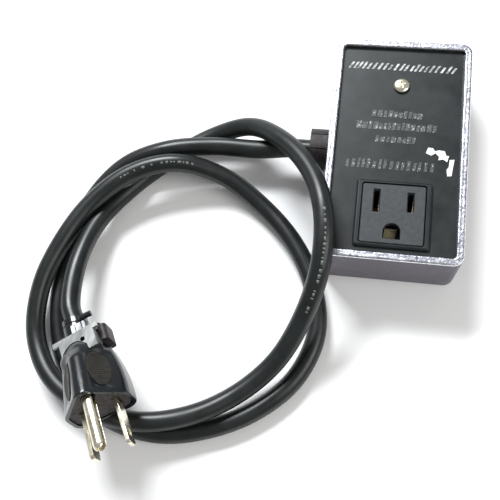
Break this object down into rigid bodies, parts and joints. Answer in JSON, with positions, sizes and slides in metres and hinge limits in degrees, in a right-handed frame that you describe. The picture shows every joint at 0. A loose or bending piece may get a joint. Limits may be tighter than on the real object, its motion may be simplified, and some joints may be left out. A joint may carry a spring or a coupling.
{
  "type": "in-line mains filter outlet box",
  "caption": "Metal-cased in-line power filter and surge suppressor with a grounded outlet in its face and a short corded grounded plug.",
  "frame": {"origin": "centre of the can's flat back, on the surface it lies on, measured without the cord, its bushing and plug", "axes": "+Z out of the front face with the outlet, +Y along the face towards the end with the single screw, +X to the right; the cord leaves towards -X"},
  "size_m": [0.1677, 0.1757, 0.0432],
  "materials": {
    "can_aluminium": "drawn sheet, mottled bright rim and satin walls",
    "plate_black": "black phenolic, satin and slightly dusty",
    "outlet_grey": "matt grey-black moulding",
    "nickel": "warm nickel plating over brass",
    "brass": "bare brass",
    "steel": "bright plated steel",
    "board_phenolic": "bare phenolic board",
    "ferrite": "dark sintered ferrite",
    "copper": "enamelled copper wire",
    "capacitor_yellow": "moulded box",
    "capacitor_blue": "dipped coating",
    "varistor_green": "dipped coating",
    "resistor_tan": "lacquered body",
    "fibre_brown": "dark vulcanised fibre, grainy",
    "cord_jacket": "round flexible cord jacket, satin",
    "core_black": "wire insulation",
    "core_white": "wire insulation",
    "core_green": "wire insulation",
    "plug_black": "glossy black moulding"
  },
  "bodies": {
    "root": {"housing_can": "can_aluminium", "front_plate": "plate_black", "outlet_body": "plate_black", "outlet_face": "outlet_grey", "plate_screw": "nickel", "outlet_ground_contact": "nickel", "plug_hot_blade": "nickel", "plug_neutral_blade": "nickel", "plug_ground_pin": "nickel", "centre_post": "brass", "outlet_neutral_contact": "brass", "outlet_hot_contact": "brass", "board_spacer_1": "brass", "board_spacer_2": "brass", "board_spacer_3": "brass", "board_spacer_4": "brass", "plug_hot_screw": "brass", "plug_neutral_screw": "brass", "plug_ground_screw": "brass", "plug_clamp_screw_1": "brass", "plug_clamp_screw_2": "brass", "board_screw_1": "steel", "board_screw_2": "steel", "board_screw_3": "steel", "board_screw_4": "steel", "ground_lug": "steel", "ground_screw": "steel", "plug_clamp_saddle": "steel", "filter_board": "board_phenolic", "choke_core": "ferrite", "choke_line_winding": "copper", "choke_neutral_winding": "copper", "x_capacitor": "capacitor_yellow", "y_capacitor_1": "capacitor_blue", "y_capacitor_2": "capacitor_blue", "surge_varistor": "varistor_green", "bleed_resistor": "resistor_tan", "strain_relief_bushing": "fibre_brown", "strain_relief_wedge": "fibre_brown", "plug_face_disc": "fibre_brown", "plug_clamp_yoke": "fibre_brown", "cord_inner_end": "cord_jacket", "plug_cord_end": "cord_jacket", "power_cord": "cord_jacket", "line_lead_in": "core_black", "line_lead_out": "core_black", "plug_line_core": "core_black", "neutral_lead_in": "core_white", "neutral_lead_out": "core_white", "plug_neutral_core": "core_white", "ground_lead_in": "core_green", "plug_ground_core": "core_green", "plug_body": "plug_black", "plug_collar": "plug_black", "plug_grommet": "plug_black"}
  },
  "joints": []
}
